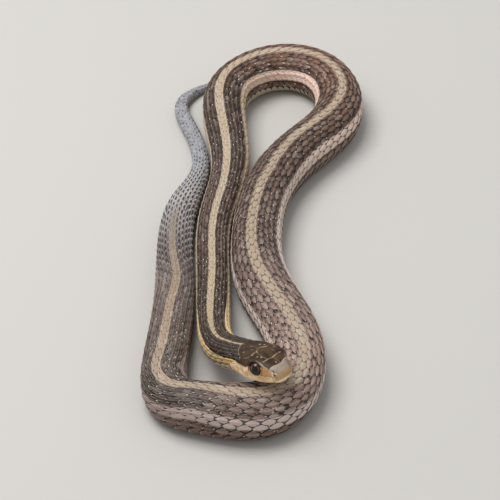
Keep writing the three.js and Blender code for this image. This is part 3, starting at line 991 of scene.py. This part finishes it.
# The part of a scale that shows begins behind the tips of the scales in front. Dark hide and shade follow
# that line, and a black check spreads back from it.
at_side = horn.larger(across - 0.76, 0) / 0.24
side_front = 0.1 + 0.27 * at_side**0.5
front = horn.larger(shown - 0.55 * across * across, side_front)
seen = back - front + 0.05 * (mottle - 0.5)
line = 1 - horn.ramp(0.01, 0.09 + 0.16 * across * plain, seen)
late = horn.ramp(*RIMS_PALE, length)
line_share = 0.92 - 0.35 * back_stripe - (0.45 - 0.4 * late) * side_stripe - 0.25 * silver
horn.tint(line * line_share, BLACK_AND_SHADE)
blot = check * plain * (1 - silver) * (1 - horn.ramp(0.16, 0.4, seen - 0.14 * across))
horn.tint(blot * 0.95, BLACK_AND_SHADE)
tick = horn.ramp(0.75, 0.9, tone) * back_stripe * (1 - horn.ramp(0.08, 0.16, seen))
horn.tint(tick * 0.6, BLACK_AND_SHADE)
# A painted highlight makes the keel a little paler, and the rim on the rear half of the body is paler too.
keel = 1 - horn.ramp(0.02, 0.18, across)
horn.tint(keel * (0.05 + 0.05 * plain) * (1 - silver), FLECK_PALE)
rim = horn.ramp(0.72, 0.98, horn.number("rim"))
horn.tint(rim * (0.03 + 0.36 * late * (1 - back_stripe)), FLECK_PALE)
# Pale flecks sit at one front corner of some scales: partly pale skin, partly painted glints of light.
to_side = ((turn * 2 - 1) * fleck_and_glint - 0.44) / 0.2
to_back = (seen - 0.08) / 0.11
corner = (1 - horn.ramp(0.1, 1.3, to_side * to_side + to_back * to_back)) * abs(fleck_and_glint)
horn.tint(corner * plain * (1 - silver) * 0.85, FLECK_PALE)
# On the tail each scale has a dark heart and a pale edge, like a net. Farther back the hearts are small.
small = horn.ramp(*HEARTS_SHRINK, length)
wide_share = across / (0.54 - 0.14 * small)
long_share = (back - shown - 0.21 + 0.07 * small) / (0.26 - 0.08 * small)
heart = wide_share * wide_share + long_share * long_share
heart = (1 - horn.ramp(0.6, 1.3, heart)) * (1 - small * horn.ramp(0.3, 0.8, tone))
net = horn.ramp(*NET_STARTS, length)
in_stripe = 1 - 0.85 * back_stripe * (1 - horn.ramp(*BACK_STRIPE_ENDS, length))
horn.tint(heart * net * in_stripe * 0.9, TAIL_DARK)
ridges = horn.noise(spots, 5000, 1)
horn.wear({
    "Base Color": horn.colour,
    "Roughness": 0.4 + 0.22 * mottle,
    "Specular IOR Level": 0.25,
    "Normal": horn.bump(0.3, 0.00005, ridges),
})

blade, blade_faces = blade_from_grid(6, 6, 0.22, keeled)
# The coat's meshes from the nape on: name, and where each ends.
COAT_LENGTHS = [
    ("scales_neck_and_first_length", 0.172), ("scales_loop", 0.29), ("scales_second_length", 0.392),
    ("scales_lower_coil", 0.482), ("scales_third_length", 0.54), ("scales_tail", 0.7),
]
start = 0
for name, end in COAT_LENGTHS:
    chosen = sites[(sites[:, 0] >= start) & (sites[:, 0] < end)]
    coat_piece(name, chosen, blade, blade_faces, horn.material)
    start = end

# Belly plates
# Smooth pale horn, rooted in the hide: one wide plate for each step of the scales, from flank to flank under
# the body, its rear edge lapping over the next. Behind the vent they run in pairs.

# Where the belly's plates begin and where they give way to pairs.
THROAT_END = 0.0265
VENT = 0.54
BELLY_WIDTH = 2 * (180 - BELLY_FROM) + 4
TAIL_PLATE_MIDDLE = 148
TAIL_PLATE_WIDTH = 70


def belly_plate(across, back):
    """Shape of a plate: x across from -1 to 1, y back from 0 to 1 with its rear edge bowed a little."""
    past_end = max(abs(across) - 0.86, 0) / 0.14
    rear = 0.95 + 0.1 * (1 - across**2) - 0.4 * past_end**2
    return across, back * rear, -0.35 + 1.2 * back - 0.12 * across**6 - 0.4 * past_end * back


belly_sites = []
tail_sites = []
for count in np.arange(0.25, steps[-1] - 0.5, 1.0):
    distance = np.interp(count, steps, fine)
    if THROAT_END < distance < VENT:
        belly_sites.append((distance, 180, BELLY_WIDTH, TOP_ROW + 2, count))
    elif distance > VENT:
        for side in (-1, 1):
            place = distance + (side + 1) / 4 * step_along(distance)
            tail_sites.append((place, side * TAIL_PLATE_MIDDLE, TAIL_PLATE_WIDTH, TOP_ROW + 2, count))

belly = Paint("belly_plates")
markings(belly)
_, back = belly.map_axes("scale")
mottle = belly.noise(belly.spot_places(), 700, 3)
darker = belly.mix(0.5, belly.colour, BLACK_AND_SHADE)
belly.tint(belly.ramp(0.45, 0.75, mottle) * 0.35, darker)
shade = 1 - belly.ramp(0.31, 0.4, back)
belly.tint(shade * 0.8, BLACK_AND_SHADE)
belly.tint(belly.ramp(0.86, 0.98, back) * 0.3, FLECK_PALE)
belly.wear({
    "Base Color": belly.colour,
    "Roughness": 0.34 + 0.16 * mottle,
    "Specular IOR Level": 0.3,
    "Normal": belly.bump(0.2, 0.00005, mottle),
})
for name, columns, chosen in (("belly_plates", 22, belly_sites), ("tail_plates", 10, tail_sites)):
    plate, plate_faces = blade_from_grid(columns, 4, 0.2, belly_plate, curved_under=True)
    coat_piece(name, np.array(chosen), plate, plate_faces, belly.material)

# Eyes
# Round glossy balls under a clear scale, sunk in the hide without lids: a round black pupil with a thin pale
# ring, in a dark reddish iris that is copper in a band above its middle and blackest at its rim. The copper
# band is partly the iris's own colour and partly painted light from above, the pale ring shows only in that
# band, and the dark above the band is painted shade under the brow.

IRIS_DARK = srgb(50, 20, 14)
IRIS_COPPER = srgb(84, 38, 26)
IRIS_PALE = srgb(190, 136, 110)
IRIS_EDGE = srgb(20, 8, 6)
PUPIL_BLACK = srgb(6, 5, 5)
# Sizes on the eye are painted in millimetres.
PUPIL_RADIUS = 1.1
IRIS_RADIUS = 2.1
MILLIMETRES = 1000
PUPIL_FACES = (0.8, 0.34, -0.46)

gloss = Paint("eye")
reach = gloss.number("from_pupil") * MILLIMETRES
height = gloss.number("upward") * MILLIMETRES
streaks = gloss.noise(gloss.spot_places(), 2200, 3)
# Painted light: the copper band, partly the iris's own colour, lies where light from above falls; above it,
# painted shade under the brow.
lit = gloss.ramp(-0.4, 1.6, height + (streaks - 0.5) * 1.6) * (1 - gloss.ramp(0.9, 1.7, height))
gloss.colour = gloss.mix(lit, IRIS_DARK, IRIS_COPPER)
ring = 1 - gloss.ramp(PUPIL_RADIUS, PUPIL_RADIUS + 0.2, reach)
gloss.tint(ring * 0.5 * lit, IRIS_PALE)
pupil = 1 - gloss.ramp(PUPIL_RADIUS - 0.05, PUPIL_RADIUS + 0.04, reach)
gloss.tint(pupil, PUPIL_BLACK)
outer = gloss.ramp(IRIS_RADIUS - 0.3, IRIS_RADIUS, reach)
gloss.tint(outer, IRIS_EDGE)
gloss.wear({
    "Base Color": gloss.colour,
    "Roughness": 0.1 + 0.05 * streaks,
    "Specular IOR Level": 0.3,
    "Coat Weight": 0.2,
})

for (name, centre), side in zip(eye_centres.items(), (1, -1)):
    bpy.ops.mesh.primitive_uv_sphere_add(segments=64, ring_count=48, radius=EYE_RADIUS, location=(0, 0, 0))
    eye = bpy.context.object
    eye.name = name + "_ball"
    gaze = from_eye(side, PUPIL_FACES)
    eye_places = np.array([vertex.co for vertex in eye.data.vertices])
    from_pupil = np.hypot(eye_places[:, 0], eye_places[:, 1]) + (eye_places[:, 2] < 0) * EYE_RADIUS
    side_way = unit(np.cross([0, 0, 1], gaze))
    turned = eye_places @ np.stack([side_way, np.cross(gaze, side_way), gaze])
    eye.data.vertices.foreach_set("co", (turned + centre).astype(np.float32).ravel())
    dress(eye.data, {"from_pupil": from_pupil, "upward": turned @ eye_up}, gloss.material)
    eye.select_set(False)
    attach(eye, "root")
    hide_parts(name)

# Floor, light and camera
# A plain pale floor, a wide soft panel of light above it to the left, even light from all round, and a long
# lens that looks down at the snake from in front.

FLOOR_SIZE = 6
FLOOR_GREY = srgb(186, 183, 178)
ROOM_LIGHT = (0.97, 0.98, 1.0, 1)
ROOM_LIGHT_STRENGTH = 0.6
PANEL_PLACE = (-0.34, 0.12, 0.98)
PANEL_SIZE = 0.65
PANEL_POWER = 10.5

bpy.ops.mesh.primitive_plane_add(size=FLOOR_SIZE, location=(0, 0, 0))
floor = bpy.context.object
floor.name = "floor"
floor_paint = Paint("floor")
floor_paint.wear({"Base Color": FLOOR_GREY, "Roughness": 0.8})
floor.data.materials.append(floor_paint.material)

world = bpy.data.worlds.new("studio")
bpy.context.scene.world = world
world.use_nodes = True
background = world.node_tree.nodes["Background"]
background.inputs["Color"].default_value = ROOM_LIGHT
background.inputs["Strength"].default_value = ROOM_LIGHT_STRENGTH

bpy.ops.object.light_add(type="AREA", location=PANEL_PLACE)
panel = bpy.context.object
panel.name = "sky_panel"
panel.data.size = PANEL_SIZE
panel.data.energy = PANEL_POWER
panel.rotation_mode = "QUATERNION"
panel.rotation_quaternion = Vector(PANEL_PLACE).to_track_quat("Z", "Y")

CAMERA_ELEVATION = np.radians(40.7)
CAMERA_DISTANCE = 0.99206
CAMERA_TARGET = np.array([-0.0025, -0.003, 0])
bpy.ops.object.camera_add()
camera = bpy.context.object
camera.data.lens = 200
camera.data.sensor_width = 36
camera.data.clip_start = 0.01
looking = np.array([0, np.cos(CAMERA_ELEVATION), -np.sin(CAMERA_ELEVATION)])
camera.location = CAMERA_TARGET - looking * CAMERA_DISTANCE
camera.rotation_euler = (np.pi / 2 - CAMERA_ELEVATION, 0, 0)
bpy.context.scene.camera = camera
bpy.context.scene.view_settings.view_transform = "Standard"
